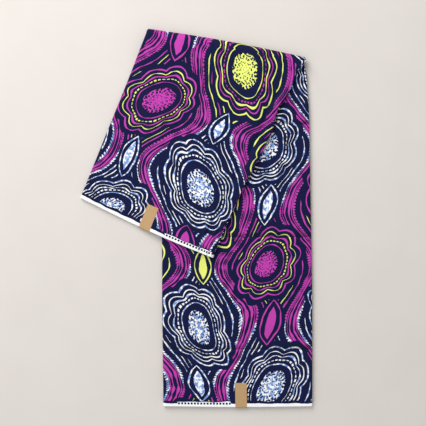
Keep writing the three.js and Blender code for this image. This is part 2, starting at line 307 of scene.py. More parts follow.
class ClothShape:
    """The place of every ply in the pile, as rows of points, in millimetres."""

    # How far the creases left by storage lie from the near selvedge.
    STORAGE_CREASES = (117.0, 350.0, 584.0)
    FAR_FROM_ENDS = 1000.0

    def __init__(self, pile: Pile, turn: Turn, flap: Flap) -> None:
        """Works out the edges.

        Args:
            pile: The pile's sizes.
            turn: The turn's sizes.
            flap: The turned part's sizes.
        """
        self.pile, self.turn, self.flap = pile, turn, flap
        self.turn_radius = pile.height + turn.inner_radius
        left, right = Vector(turn.left), Vector(turn.right)
        self.side = (right - left).normalized()
        self.out = Vector((-self.side.y, self.side.x))
        self.axis_left = left - self.out * self.turn_radius
        self.axis_right = right - self.out * self.turn_radius
        self.run_left = EdgeCurve([*((l, y) for y, l, _ in pile.outline), tuple(self.axis_left)])
        self.run_right = EdgeCurve([*((r, y) for y, _, r in pile.outline), tuple(self.axis_right)])
        self.flap_left = EdgeCurve([tuple(self.axis_left), flap.corner])
        ahead, inward = Vector(flap.ahead), Vector(flap.inward)
        loose = [right + ahead * along + inward * inset for along, inset in flap.right_edge]
        self.flap_right = EdgeCurve([tuple(self.axis_right), *(tuple(point) for point in loose)])
        self.far_left, self.far_right = Vector(flap.corner), loose[-1]
        far_side = self.far_right - self.far_left
        self.far_out = Vector((far_side.y, -far_side.x)).normalized()

    def bow(self, height: float, share: float) -> float:
        """Returns how far a nearly straight edge bows out at a share of its length."""
        return height * math.sin(math.pi * min(1.0, max(0.0, share)))

    def seat(self, x: float, y: float, past_turn: float) -> float:
        """Returns the height of the turned part's underside over the floor.

        Args:
            x: The place's X.
            y: The place's Y.
            past_turn: How far along the cloth it lies past the turn.
        """
        flap, pile = self.flap, self.pile
        edge = self.run_left.across_at(min(y, self.axis_left.y)) - flap.drop_start
        over_pile = smooth(x, edge - flap.drop_length, edge)
        held_up_end = flap.held_up_start + flap.held_up_length
        near_turn = 1 - smooth(past_turn, flap.held_up_start, held_up_end)
        carried = 1 - (1 - over_pile) * (1 - near_turn)
        loop = 2 * self.turn.inner_radius - flap.seat_gap
        loop *= 1 - smooth(past_turn, 0, flap.loop_length)
        return (pile.height + flap.seat_gap) * carried + loop

    def run_relief(self, x: float, along: float) -> float:
        """Returns how far the lying part's top ply stands off from flat.

        Args:
            x: The place's X.
            along: How far it lies from the near selvedge.
        """
        # Slack over the whole ply, finer puckers, each storage crease, and the selvedge's waves.
        relief = 0.3 * waver(x / 80, along / 110) + 0.12 * waver(x / 24, along / 30, 2)
        for place in self.STORAGE_CREASES:
            away = along - place - 1.4 * waver(x / 60, 0, place)
            reach = 3.6 if away > 0 else 1.6
            relief += 0.35 * bump(away, 9, 5) + 0.25 * bump(away, -4, 3)
            relief -= 0.85 * math.exp(-abs(away) / reach)
        return max(relief + 0.25 * waver(x / 22, 0, 5) * math.exp(-along / 9), -0.85)

    def flap_relief(self, past: float, inset: float, x: float) -> float:
        """Returns how far the turned part's top ply stands off from the plies under it.

        Args:
            past: How far the place lies past the turn.
            inset: How far it lies in from the loose edge.
            x: Its X.
        """
        # The ply's own soft folds, slack with finer puckers, and the curl of its loose edge.
        relief = sum(fold.rise(past, inset) for fold in TOP_PLY_FOLDS)
        relief += 0.3 * waver(x / 70, past / 90, 3) + 0.12 * waver(x / 20, past / 28, 4)
        curl = 0.8 * (0.6 + 0.4 * waver(past / 38, 0, 6)) * math.exp(-max(inset, 0) / 3)
        return max(relief + curl + 0.15, -0.45)

    def to_selvedge(self, point: Vector) -> float:
        """Returns a flat place's distance from the far selvedge's straight line."""
        return (self.far_left - Vector((point.x, point.y))).dot(self.far_out)

    def run_row(self, share: float) -> Row:
        """Returns a row of the lying part.

        Args:
            share: The row's share of the way from the near selvedge to the turn.
        """
        pile = self.pile
        even = pile.outline[3][0]
        straight = (even - pile.selvedge_y) / (self.axis_left.y - pile.selvedge_y)
        if share <= straight:
            y_left = y_right = mix(pile.selvedge_y, even, share / straight)
        else:
            past = (share - straight) / (1 - straight)
            y_left, y_right = (mix(even, axis.y, past) for axis in (self.axis_left, self.axis_right))
        left = Vector((self.run_left.across_at(y_left), y_left))
        right = Vector((self.run_right.across_at(y_right), y_right))
        width = (right - left).length
        near_selvedge = math.exp(-(y_left - pile.selvedge_y) / 25)

        def place(across: float, depth: float, push: float) -> Vector:
            """Returns a point of the row.

            Args:
                across: Its distance from the row's left end.
                depth: Its depth under the pile's top.
                push: How far it is pushed past the selvedge.
            """
            flat = left.lerp(right, across / width)
            loose = max(0.0, 1 - depth / pile.free)
            relief = loose * self.run_relief(flat.x, flat.y - pile.selvedge_y) if loose else 0.0
            push += near_selvedge * self.bow(pile.selvedge_bow, across / width)
            return Vector((flat.x, flat.y - push, pile.height - depth + relief))

        def along(across: float) -> float:
            """Returns how far along the cloth a point lies."""
            return left.lerp(right, across / width).y - pile.selvedge_y

        return Row(width, y_left - pile.selvedge_y, place, along)

    def turn_row(self, degrees: float) -> Row:
        """Returns a row in the turn's loop.

        Args:
            degrees: The row's angle round the loop, -90 under the pile and 90 over it.
        """
        width = (self.axis_right - self.axis_left).length
        angle = math.radians(degrees)

        def place(across: float, depth: float, push: float) -> Vector:
            """Returns a point of the row.

            Args:
                across: Its distance from the row's left end.
                depth: Its depth under the pile's top.
                push: How far it is pushed past the selvedge; not used here.
            """
            radius = self.turn_radius - depth
            bow = self.bow(self.turn.bow, across / width)
            loose = max(0.0, 1 - depth / self.pile.free)
            lift = loose * (0.25 * waver(across / 30, degrees / 60, 8) + 0.25)
            lift *= (1 + math.sin(angle)) / 2
            reach = (radius + bow + lift) * math.cos(angle)
            flat = self.axis_left + self.side * across + self.out * reach
            return Vector((flat.x, flat.y, self.turn_radius + (radius + lift) * math.sin(angle)))

        def along(across: float) -> float:
            """Returns how far along the cloth a point lies.

            Args:
                across: Its distance from the row's left end.
            """
            axis = self.axis_left + self.side * across
            arc = math.radians(90 - degrees) * self.turn_radius
            return self.pile.woven_width - self.to_selvedge(axis) - arc

        return Row(width, self.FAR_FROM_ENDS, place, along)

    def flap_row(self, share: float) -> Row:
        """Returns a row of the turned part.

        Args:
            share: The row's share of the way from the turn to the far selvedge.
        """
        left, right = self.flap_left.at(share), self.flap_right.at(share)
        width = (right - left).length
        past_left, past_right = share * self.flap_left.length, share * self.flap_right.length
        bow = self.flap.selvedge_bow * share**3
        height, free = self.pile.height, self.pile.free

        def flat_place(across: float, push: float) -> Vector:
            """Returns a point of the row as seen from above."""
            flat = left.lerp(right, across / width)
            return flat + self.far_out * (push + self.bow(bow, across / width))

        def place(across: float, depth: float, push: float) -> Vector:
            """Returns a point of the row.

            Args:
                across: Its distance from the row's left end.
                depth: Its depth under the pile's top.
                push: How far it is pushed past the selvedge.
            """
            flat = flat_place(across, push)
            past = mix(past_left, past_right, across / width)
            inset = width - across
            seat = self.seat(flat.x, flat.y, past)
            thick = height + sum(fold.rise(past_right, inset) for fold in PILE_FOLDS)
            if depth < free:
                relief = (1 - depth / free) * self.flap_relief(past_right, inset, flat.x)
                return Vector((flat.x, flat.y, seat + thick - depth + relief))
            core = (thick - free) * (height - depth) / (height - free)
            return Vector((flat.x, flat.y, seat + core))

        def along(across: float) -> float:
            """Returns how far along the cloth a point lies."""
            bowed = self.bow(self.flap.selvedge_bow, across / width)
            return self.pile.woven_width - self.to_selvedge(flat_place(across, 0)) - bowed

        return Row(width, (1 - share) * self.flap_right.length, place, along)

    def row_from_near(self, distance: float) -> Row:
        """Returns the lying part's row at a distance from the near selvedge."""
        return self.run_row(distance / (self.axis_left.y - self.pile.selvedge_y))

    def row_from_far(self, distance: float) -> Row:
        """Returns the turned part's row at a distance from the far selvedge."""
        return self.flap_row(1 - distance / self.flap_right.length)


@dataclass(frozen=True)
class Leaf:
    """A few hidden plies that share one folded loose edge, which lies at fold_at on the cloth."""

    top: float
    bottom: float
    inset: float
    fold_at: float


RUN_LEAVES = (
    Leaf(1.3, 4.5, 3.2, 640.0),
    Leaf(4.75, 6.05, 0.5, 165.0),
    Leaf(6.25, 7.55, 1.9, 350.0),
    Leaf(7.75, 9.0, 0.9, 540.0),
)
FLAP_LEAVES = (
    Leaf(1.3, 2.85, -2.2, 640.0),
    Leaf(3.1, 4.9, 1.6, 95.0),
    Leaf(5.15, 6.9, -1.2, 720.0),
    Leaf(7.15, 9.0, 0.8, 40.0),
)


@dataclass(frozen=True)
class Ply:
    """One sheet of cloth to lay: its columns, and how its edge and its end wander.

    bulge is how far its right edge stands out at ClothLayer.BULGE_AT along the cloth.
    """

    columns: tuple[Column, ...]
    seed: float = 0.0
    edge_wander: float = 0.0
    end_push: float = 0.0
    end_wander: float = 0.0
    print_start: float = 0.0
    bulge: float = 0.0


class ClothLayer:
    """Lays plies as sheets of cloth, each a grid whose points are moved to their places."""

    # Where the lying part's right edge bulges, beside the turn, and how long the bulge is.
    BULGE_AT = 683.0
    BULGE_LENGTH = 19.0
    COVER_BULGE = 2.6
    LEAF_BULGE = 3.6
    EDGE_STRIP = 55.0
    SMOOTH_BELOW = math.radians(72)

    def __init__(self, shape: ClothShape) -> None:
        """Keeps the shape whose plies are laid."""
        self.shape = shape

    def left_nose(self, depth: float, lowest: float, count: int) -> list[Column]:
        """Returns the columns round the folded left edge, for a ply at this depth.

        Args:
            depth: The ply's depth where it lies flat.
            lowest: The angle where it starts, from the horizontal, negative for below.
            count: The number of steps up to the flat top.
        """
        nose = self.shape.pile.nose
        radius = nose - depth
        columns = []
        for degrees in steps(lowest, 90, count)[:-1]:
            angle = math.radians(degrees)
            across, sunk = nose - radius * math.cos(angle), nose - radius * math.sin(angle)
            columns.append(Column(0, across, sunk))
        return columns

    @staticmethod
    def right_nose(inset: float, top: float, radius: float, lowest: float, count: int) -> list[Column]:
        """Returns the columns round a folded right edge, from its top down.

        Args:
            inset: How far the edge stays back from the pile's right edge.
            top: The depth of the ply over the fold.
            radius: The fold's radius.
            lowest: The angle where it ends, from the horizontal, negative for below.
            count: The number of steps.
        """
        columns = []
        for degrees in steps(90, lowest, count):
            angle = math.radians(degrees)
            shift = radius * math.cos(angle) - radius - inset
            columns.append(Column(1, shift, top + radius * (1 - math.sin(angle))))
        return columns

    @staticmethod
    def flat_columns(
        first: tuple[float, float], last: tuple[float, float], depth: float, count: int
    ) -> list[Column]:
        """Returns columns between two places at one depth.

        Args:
            first: The first place, as a share of the width and a shift.
            last: The last place, in the same way.
            depth: The columns' depth.
            count: The number of steps.
        """
        shares, shifts = (steps(start, end, count) for start, end in zip(first, last))
        return [Column(share, shift, depth) for share, shift in zip(shares, shifts)]

    def cover(self, count: int, margin: float, margin_count: int, folded_right: bool) -> Ply:
        """Returns the outermost ply, rounded under at its folded edges.

        Args:
            count: The number of steps over the middle.
            margin: The width of the strip beside the right edge that has finer steps.
            margin_count: The number of steps over that strip.
            folded_right: Whether the right edge is folded under too.
        """
        nose = self.shape.pile.nose
        columns = self.left_nose(0, -58, 9)
        columns += self.flat_columns((0, nose), (1, -margin), 0, count)[:-1]
        if folded_right:
            radius = 2.4
            columns += self.flat_columns((1, -margin), (1, -radius), 0, margin_count)[:-1]
            columns += self.right_nose(0, 0, radius, -50, 8)
        else:
            columns += self.flat_columns((1, -margin), (1, 0), 0, margin_count)
        bulge = self.COVER_BULGE if folded_right else 0.0
        return Ply(tuple(columns), seed=1, edge_wander=0.3, print_start=-nose, bulge=bulge)

    def folded_edge(self, leaf: Leaf, seed: float, to_left: bool, bulge: float = 0.0) -> Ply:
        """Returns the ply that shows as one leaf's folded right edge.

        Args:
            leaf: The leaf.
            seed: Sets how the edge wanders.
            to_left: Whether its lower side goes on under the whole pile.
            bulge: How far the edge stands out beside the turn.
        """
        radius = (leaf.bottom - leaf.top) / 2
        reach = radius + leaf.inset
        inner, edge = (1, -self.EDGE_STRIP), (1, -reach)
        columns = self.flat_columns(inner, edge, leaf.top, 26)[:-1]
        columns += self.right_nose(leaf.inset, leaf.top, radius, -90, 8)
        columns += self.flat_columns(edge, inner, leaf.bottom, 6)[1:]
        if to_left:
            columns += self.flat_columns(inner, (0, 4.6), leaf.bottom, 20)[1:]
        return Ply(tuple(columns), seed, 0.5, print_start=leaf.fold_at - self.EDGE_STRIP, bulge=bulge)

    def ply_ends(self, leaves: Sequence[Leaf]) -> list[Ply]:
        """Returns the nested hidden plies whose ends show at a selvedge.

        Args:
            leaves: The leaves that the plies end in, at the right.

        Returns:
            One ply for each depth, folded round the left edge.
        """
        pile = self.shape.pile

        def right_end(depth: float) -> tuple[float, float]:
            """Returns where a ply ends at the right, as a share of the width and a shift.

            Args:
                depth: The ply's depth.
            """
            leaf = next((leaf for leaf in leaves if depth <= leaf.bottom - 0.2), leaves[-1])
            middle, half = (leaf.top + leaf.bottom) / 2, (leaf.bottom - leaf.top) / 2
            rounded = half - math.sqrt(max(0.0, half**2 - (depth - middle) ** 2))
            return (1, -leaf.inset - rounded - 0.9)

        plies = []
        for number in range(1, pile.plies // 2):
            depth = number * pile.pitch + 0.75 * (1 - number / 9)
            below = pile.height - depth
            nose = self.left_nose(depth, -90, 8)
            under = self.flat_columns(right_end(below), (0, pile.nose), below, 60)
            over = self.flat_columns((0, pile.nose), right_end(depth), depth, 60)
            push = 1.4 * waver(number * 0.9, 3.3) - 0.2
            columns = (*under[:-1], *nose, *over)
            plies.append(Ply(columns, number, 0.0, push, 0.5, 53.0 * number))
        return plies

    def lay(self, name: str, ply: Ply, rows: Sequence[Row]) -> bpy.types.Object:
        """Lays one ply as a sheet of cloth with its thickness.

        Args:
            name: The new object's name.
            ply: The ply.
            rows: The rows that it lies along.

        Returns:
            The sheet, with its place in its mesh and its cloth places in its UV map.
        """
        across_count, along_count = len(ply.columns), len(rows)
        bpy.ops.object.select_all(action="DESELECT")
        bpy.ops.mesh.primitive_grid_add(
            x_subdivisions=across_count - 1, y_subdivisions=along_count - 1, size=1, calc_uvs=True
        )
        sheet = bpy.context.object
        sheet.name = sheet.data.name = name
        mesh = sheet.data
        laid = [self.lay_row(ply, row) for row in rows]
        cloth_places = []
        for vertex in mesh.vertices:
            column = round((vertex.co.x + 0.5) * (across_count - 1))
            row = round((vertex.co.y + 0.5) * (along_count - 1))
            place, cloth_place = laid[row][column]
            vertex.co = place * MM
            cloth_places.append(cloth_place * MM)
        layer = mesh.uv_layers[0]
        layer.name = CLOTH_MAP
        for loop in mesh.loops:
            layer.data[loop.index].uv = cloth_places[loop.vertex_index]
        self.give_thickness(sheet, self.shape.pile.ply)
        return sheet

    def lay_all(self, name: str, plies: Sequence[Ply], rows: Sequence[Row]) -> list[bpy.types.Object]:
        """Lays several plies along the same rows, and returns the sheets."""
        return [self.lay(f"{name}_{number}", ply, rows) for number, ply in enumerate(plies)]

    @staticmethod
    def lay_row(ply: Ply, row: Row) -> list[tuple[Vector, Vector]]:
        """Lays one row of a ply.

        Args:
            ply: The ply.
            row: The row.

        Returns:
            Each point's place in space, and its place on the flat cloth.
        """
        fade = math.exp(-row.from_end / 12)
        points: list[tuple[Vector, Vector]] = []
        print_across = ply.print_start
        for column in ply.columns:
            across = column.across(row.width)
            along = row.along(across)
            if column.share == 1 and ply.edge_wander:
                across += ply.edge_wander * waver(along / 42, 0, ply.seed + 20)
                bulge = ply.bulge * smooth(column.shift, -18, -4)
                across += bulge * bump(along, ClothLayer.BULGE_AT, ClothLayer.BULGE_LENGTH)
            push = fade * (ply.end_push + ply.end_wander * waver(across / 26, 0, ply.seed + 40))
            place = row.place(across, column.depth, push)
            if points:
                print_across += (place - points[-1][0]).length
            points.append((place, Vector((print_across, along))))
        return points

    @staticmethod
    def give_thickness(sheet: bpy.types.Object, thickness: float) -> None:
        """Makes a sheet's wall, under its outer face, and smooths its shading.

        Args:
            sheet: The sheet.
            thickness: Its thickness in millimetres, negative for a wall over its face.
        """
        wall = sheet.modifiers.new("wall", "SOLIDIFY")
        wall.thickness = thickness * MM
        wall.offset = -1
        bpy.context.view_layer.objects.active = sheet
        sheet.select_set(True)
        bpy.ops.object.modifier_apply(modifier=wall.name)
        bpy.ops.object.shade_smooth_by_angle(angle=ClothLayer.SMOOTH_BELOW)

    @staticmethod
    def join(name: str, sheets: Sequence[bpy.types.Object]) -> bpy.types.Object:
        """Joins sheets into one piece with this name.

        Args:
            name: The piece's name.
            sheets: The sheets.

        Returns:
            The piece.
        """
        bpy.ops.object.select_all(action="DESELECT")
        for sheet in sheets:
            sheet.select_set(True)
        bpy.context.view_layer.objects.active = sheets[0]
        bpy.ops.object.join()
        piece = bpy.context.object
        piece.name = piece.data.name = name
        return piece


def linear(hex_colour: str) -> tuple[float, float, float, float]:
    """Returns the linear colour that a shader takes.

    Args:
        hex_colour: The colour as an sRGB hex code.
    """
    values = [int(hex_colour[place : place + 2], 16) / 255 for place in (1, 3, 5)]
    turned = [v / 12.92 if v <= 0.04045 else ((v + 0.055) / 1.055) ** 2.4 for v in values]
    return (*turned, 1.0)


def add_node(
    tree: bpy.types.NodeTree,
    kind: str,
    *sources: Any,
    named: Mapping[str, Any] | None = None,
    **settings: Any,
) -> bpy.types.Node:
    """Adds a node with its settings and links.

    Args:
        tree: The material's node tree.
        kind: The node's type, without the leading ShaderNode, and its operation if it has one.
        *sources: A value, socket or node for each input that the node shows, in their order.
            A node gives the first output that it shows.
        named: The same for inputs by name.
        **settings: The node's own properties.

    Returns:
        The new node.
    """
    kind, _, operation = kind.partition(" ")
    node = tree.nodes.new(f"ShaderNode{kind}")
    if operation:
        node.operation = operation
    for name, value in settings.items():
        setattr(node, name, value)
    targets = [*zip((place for place in node.inputs if place.enabled), sources)]
    targets += [(node.inputs[name], source) for name, source in (named or {}).items()]
    for place, source in targets:
        if isinstance(source, bpy.types.Node):
            source = next(output for output in source.outputs if output.enabled)
        if isinstance(source, bpy.types.NodeSocket):
            tree.links.new(source, place)
        else:
            place.default_value = source
    return node


AddNode = Callable[..., bpy.types.Node]


class Finish(ABC):
    """A finish, which its nodes turn into a material."""

    NAME: ClassVar[str]

    def material(self) -> bpy.types.Material:
        """Returns the finished material."""
        material = bpy.data.materials.new(self.NAME)
        material.use_nodes = True
        material.node_tree.nodes.clear()
        add = partial(add_node, material.node_tree)
        add("OutputMaterial", self.shader(add))
        return material

    @abstractmethod
    def shader(self, add: AddNode) -> bpy.types.Node:
        """Returns the finish's shader, with each node added by add."""


class Ink(Enum):
    """What a stroke of the print is drawn in. The colours only carry the choice."""

    GROUND = (0.0, 0.0, 0.0)
    MAIN = (1.0, 0.0, 0.0)
    ACCENT = (0.0, 1.0, 0.0)
    BORDER = (0.0, 0.0, 1.0)
    TRIM = (1.0, 0.0, 1.0)


@dataclass(frozen=True)
class Stroke:
    """A line of the print between two distances, whole or broken into dashes or dots.

    It swells and thins along its length, as a line cut by hand does.
    """

    EVEN = 0.375

    start: float
    end: float
    ink: Ink
    broken: bool = False

    @property
    def swell(self) -> float:
        """How far the line may swell past each of its sides."""
        return 0.3 * min(self.end - self.start, 4.0)

    @property
    def shoulder(self) -> float:
        """How far in from each side the line is never thinned away."""
        return self.swell * (1 / self.EVEN - 1)

    def profile(self) -> list[tuple[float, float]]:
        """Returns distances with the line's strength there, which is EVEN at its sides."""
        low, high = self.start - self.swell, self.end + self.swell
        first = (low, 0.0) if low > 0 else (0.0, self.EVEN)
        return [first, (self.start + self.shoulder, 1.0), (self.end - self.shoulder, 1.0), (high, 0.0)]


@dataclass(frozen=True)
class Motif:
    """A motif of the print: its strokes from its outline inwards, and how far they reach.

    The ground shows in a halo round it.
    """

    reach: float
    halo: float
    strokes: tuple[Stroke, ...]


RIVER_BAND = Motif(
    80.0,
    0.0,
    (
        Stroke(2.4, 5.8, Ink.BORDER),
        Stroke(8.4, 9.8, Ink.BORDER),
        Stroke(11.6, 15.6, Ink.TRIM, True),
        Stroke(26.4, 28.6, Ink.MAIN),
        Stroke(36.2, 37.6, Ink.ACCENT),
        Stroke(46.2, 47.8, Ink.MAIN),
        Stroke(58.2, 60.6, Ink.MAIN),
    ),
)
ROSETTE = Motif(
    72.0,
    9.0,
    (
        Stroke(0.0, 2.8, Ink.MAIN),
        Stroke(9.2, 10.8, Ink.ACCENT),
        Stroke(16.2, 18.8, Ink.MAIN),
        Stroke(24.0, 26.4, Ink.ACCENT, True),
        Stroke(32.0, 33.6, Ink.MAIN),
        Stroke(45.0, math.inf, Ink.MAIN, True),
    ),
)
LEAF_EYE = Motif(20.0, 7.0, (Stroke(0.0, 3.0, Ink.MAIN), Stroke(11.0, math.inf, Ink.MAIN)))


@dataclass(frozen=True)
class PrintLayout:
    """The repeat of the print, in millimetres of cloth: an ogee net with half-drop rosettes.

    column is the net's spacing across, and swing how far its bands sway. petal_fade is where
    the petals fade inwards, rays counts the dashes of the broken ring, and mottle is the
    spacing of the blue's cloudiness.
    """

    column: float = 150.0
    repeat: float = 250.0
    along_shift: float = 0.08
    swing: float = 34.0
    tooth: float = 5.2
    rosette_half_length: float = 84.0
    rosette_slant: float = 0.3
    petals: float = 9.0
    petal_depth: float = 8.0
    petal_fade: tuple[float, float] = (14.0, 32.0)
    rays: float = 40.0
    core: float = 40.0
    core_spot: float = 4.6
    leaf_half_width: float = 20.0
    leaf_half_length: float = 40.0
    mottle: float = 7.5


@dataclass
class PrintCell:
    """Where a point lies in its cell of the net, and how thin the hand draws there."""

    across: bpy.types.Node
    from_rosette: bpy.types.Node
    from_waist: bpy.types.Node
    from_band: bpy.types.Node
    lean: bpy.types.Node
    number: bpy.types.Node
    leaf_number: bpy.types.Node
    along: bpy.types.NodeSocket
    thinness: bpy.types.Node


@dataclass(frozen=True)
class WaxPrintCotton(Finish):
    """Plain woven cotton with a wax resist print, lightly calendered.

    The eye sees flat, dense inks with hard, hand-cut edges on a deep ground, a soft low sheen
    from the calender, and at a glance no thread.
    """

    NAME = "wax_print_cotton"
    # How the drawn lines wander: the spacing of the turns, and their reach.
    WANDERS = ((180.0, 52.0), (26.0, 3.6))
    # How the hand thins them: the spacing, and the range of a line's lost strength.
    HAND_SPACING = 24.0
    HAND_RANGE = (0.03, 0.72)
    # The share of each step of a broken line that is drawn.
    DASH = 0.62
    THREAD_STEP = 1.4

    ground: str = "#060f3b"
    magenta: str = "#c03faa"
    yellow: str = "#e9f278"
    sky: str = "#7a98d2"
    pale_sky: str = "#a4c0ea"
    white: str = "#f9faf9"
    selvedge_band: float = 6.0
    near_marks: float = 87.0
    far_marks: float = 249.0
    marks_half_length: float = 55.0
    mark_step: float = 6.6
    # Painted shade darkens the inks just past each storage crease, down to this share, and a painted
    # highlight brightens them just before it.
    painted_shade_reach: float = 12.0
    painted_shade: float = 0.45
    painted_light_reach: float = 6.0
    painted_light: float = 1.15
    layout: PrintLayout = field(default_factory=PrintLayout)

    def shader(self, add: AddNode) -> bpy.types.Node:
        """Returns the cloth's shader.

        Args:
            add: Adds a node.
        """
        flat = add("VectorMath MULTIPLY", add("UVMap", uv_map=CLOTH_MAP), (1 / MM, 1 / MM, 1 / MM))
        cell = self.find_cell(add, self.hand_drawn(add, flat))
        code = self.draw_band(add, cell)
        code = self.draw_rosette(add, cell, code)
        code = self.draw_leaf(add, cell, code)
        colour = self.ink_in(add, flat, cell, code)
        return self.weave(add, flat, self.leave_selvedge(add, flat, colour))

    def hand_drawn(self, add: AddNode, flat: bpy.types.Node) -> bpy.types.Node:
        """Returns cloth places that wander as hand-drawn lines do.

        Args:
            add: Adds a node.
            flat: The cloth places in millimetres.
        """
        place = flat
        for spacing, reach in self.WANDERS:
            drift = add("TexNoise", place, 1 / spacing, 1.0, 0.4, noise_dimensions="2D")
            centred = add("VectorMath SUBTRACT", drift.outputs["Color"], (0.5, 0.5, 0.5))
            place = add("VectorMath MULTIPLY_ADD", centred, (reach, reach, 0.0), place)
        return place

    def find_cell(self, add: AddNode, drawn_at: bpy.types.Node) -> PrintCell:
        """Finds where a point lies in its cell of the net.

        Args:
            add: Adds a node.
            drawn_at: The places on the drawing, in millimetres.

        Returns:
            The point's places in the cell.
        """
        layout = self.layout
        x, y, _ = add("SeparateXYZ", drawn_at).outputs
        columns = add("Math MULTIPLY", x, 1 / layout.column)
        repeats = add("Math MULTIPLY_ADD", y, 1 / layout.repeat, layout.along_shift)
        swing = add("Math SINE", add("Math MULTIPLY", repeats, 2 * math.pi))
        edge = add("Math FLOOR", add("Math ADD", columns, 0.5))
        edge_odd = add("Math FLOORED_MODULO", edge, 2.0)
        edge_lean = add("Math MULTIPLY_ADD", edge_odd, -2.0, 1.0)
        edge_swing = add("Math MULTIPLY", swing, edge_lean)
        edge_at = add("Math MULTIPLY_ADD", edge_swing, layout.swing / layout.column, edge)
        past = add("Math GREATER_THAN", columns, edge_at)
        column = add("Math ADD", add("Math SUBTRACT", edge, 1.0), past)
        in_column = add("Math SUBTRACT", columns, column)
        middle = layout.column / 2
        across = add("Math MULTIPLY_ADD", in_column, layout.column, -middle)
        odd = add("Math FLOORED_MODULO", column, 2.0)
        lean = add("Math MULTIPLY_ADD", odd, -2.0, 1.0)
        column_swing = add("Math MULTIPLY", swing, lean)
        half = add("Math MULTIPLY_ADD", column_swing, -layout.swing, middle)
        from_band = add("Math SUBTRACT", half, add("Math ABSOLUTE", across))
        centred = add("Math MULTIPLY_ADD", lean, 0.25, repeats)
        row = add("Math ROUND", centred)
        to_rosette = add("Math SUBTRACT", centred, row)
        from_rosette = add("Math MULTIPLY", to_rosette, layout.repeat)
        leaf_row = add("Math FLOOR", centred)
        to_waist = add("Math SUBTRACT", centred, leaf_row)
        from_waist = add("Math MULTIPLY_ADD", to_waist, layout.repeat, -layout.repeat / 2)
        numbers = []
        for place, shift in ((row, 2.0), (leaf_row, 3.0)):
            diagonal = add("Math ADD", add("Math SUBTRACT", place, column), shift)
            numbers.append(add("Math FLOORED_MODULO", diagonal, 4.0))
        hand = add("TexNoise", drawn_at, 1 / self.HAND_SPACING, 1.0, noise_dimensions="2D")
        thinness = add("MapRange", hand, 0.32, 0.68, *self.HAND_RANGE)
        return PrintCell(across, from_rosette, from_waist, from_band, lean, *numbers, y, thinness)

    def draw(
        self, add: AddNode, motif: Motif, depth: Any, thinness: Any, broken_by: Any
    ) -> bpy.types.Node:
        """Draws a motif's strokes by the distance in from its outline.

        Args:
            add: Adds a node.
            motif: The motif.
            depth: The distance in from its outline, in millimetres.
            thinness: How thin the hand draws there, where Stroke.EVEN is the true width.
            broken_by: 1 where a broken stroke is drawn, and 0 where it is left out.

        Returns:
            The node whose first output is the strokes' choice of ink.
        """
        inks = [(0.0, (*Ink.GROUND.value, 1.0))]
        strengths = []
        for stroke in motif.strokes:
            profile = stroke.profile()
            inks.append((profile[0][0], (*stroke.ink.value, 0.0 if stroke.broken else 1.0)))
            inks.append((profile[-1][0], inks[0][1]))
            strengths += [(at, (value, value, value, 1.0)) for at, value in profile]
        share = add("Math MULTIPLY", depth, 1 / motif.reach)
        ink, strength = (add("ValToRGB", share) for _ in range(2))
        ink.color_ramp.interpolation = "CONSTANT"
        for ramp, stops in ((ink, inks), (strength, strengths)):
            stops = [(at / motif.reach, colour) for at, colour in stops if at <= motif.reach]
            elements = ramp.color_ramp.elements
            while len(elements) < len(stops):
                elements.new(1.0)
            for element, (at, colour) in zip(elements, stops):
                element.position, element.color = at, colour
        whole = add("Math GREATER_THAN", strength, thinness)
        unbroken = add("Math MAXIMUM", ink.outputs["Alpha"], broken_by)
        return add("VectorMath SCALE", ink, add("Math MULTIPLY", whole, unbroken))

    def over(self, add: AddNode, motif: Motif, depth: Any, code: Any, below: Any) -> bpy.types.Node:
        """Puts a motif over what is drawn below it, with a halo of ground round it.

        Args:
            add: Adds a node.
            motif: The motif.
            depth: The distance in from its outline, in millimetres.
            code: The motif's choice of ink.
            below: The choice of ink below it.

        Returns:
            The choice of ink of both.
        """
        inside = add("Math GREATER_THAN", depth, -motif.halo)
        on_motif = add("Math GREATER_THAN", depth, 0.0)
        shown = add("VectorMath SCALE", code, on_motif)
        return add("Mix", inside, below, shown, data_type="RGBA")

    def draw_band(self, add: AddNode, cell: PrintCell) -> bpy.types.Node:
        """Draws the wavy bands between the cells, with the lines that echo them.

        Args:
            add: Adds a node.
            cell: The point's places in its cell.

        Returns:
            The choice of ink.
        """
        tooth = add("Math FRACT", add("Math MULTIPLY", cell.along, 1 / self.layout.tooth))
        narrowing = add("MapRange", cell.from_band, 13.0, 17.0, 0.85, 0.15)
        teeth = add("Math LESS_THAN", tooth, narrowing)
        return self.draw(add, RIVER_BAND, cell.from_band, cell.thinness, teeth)

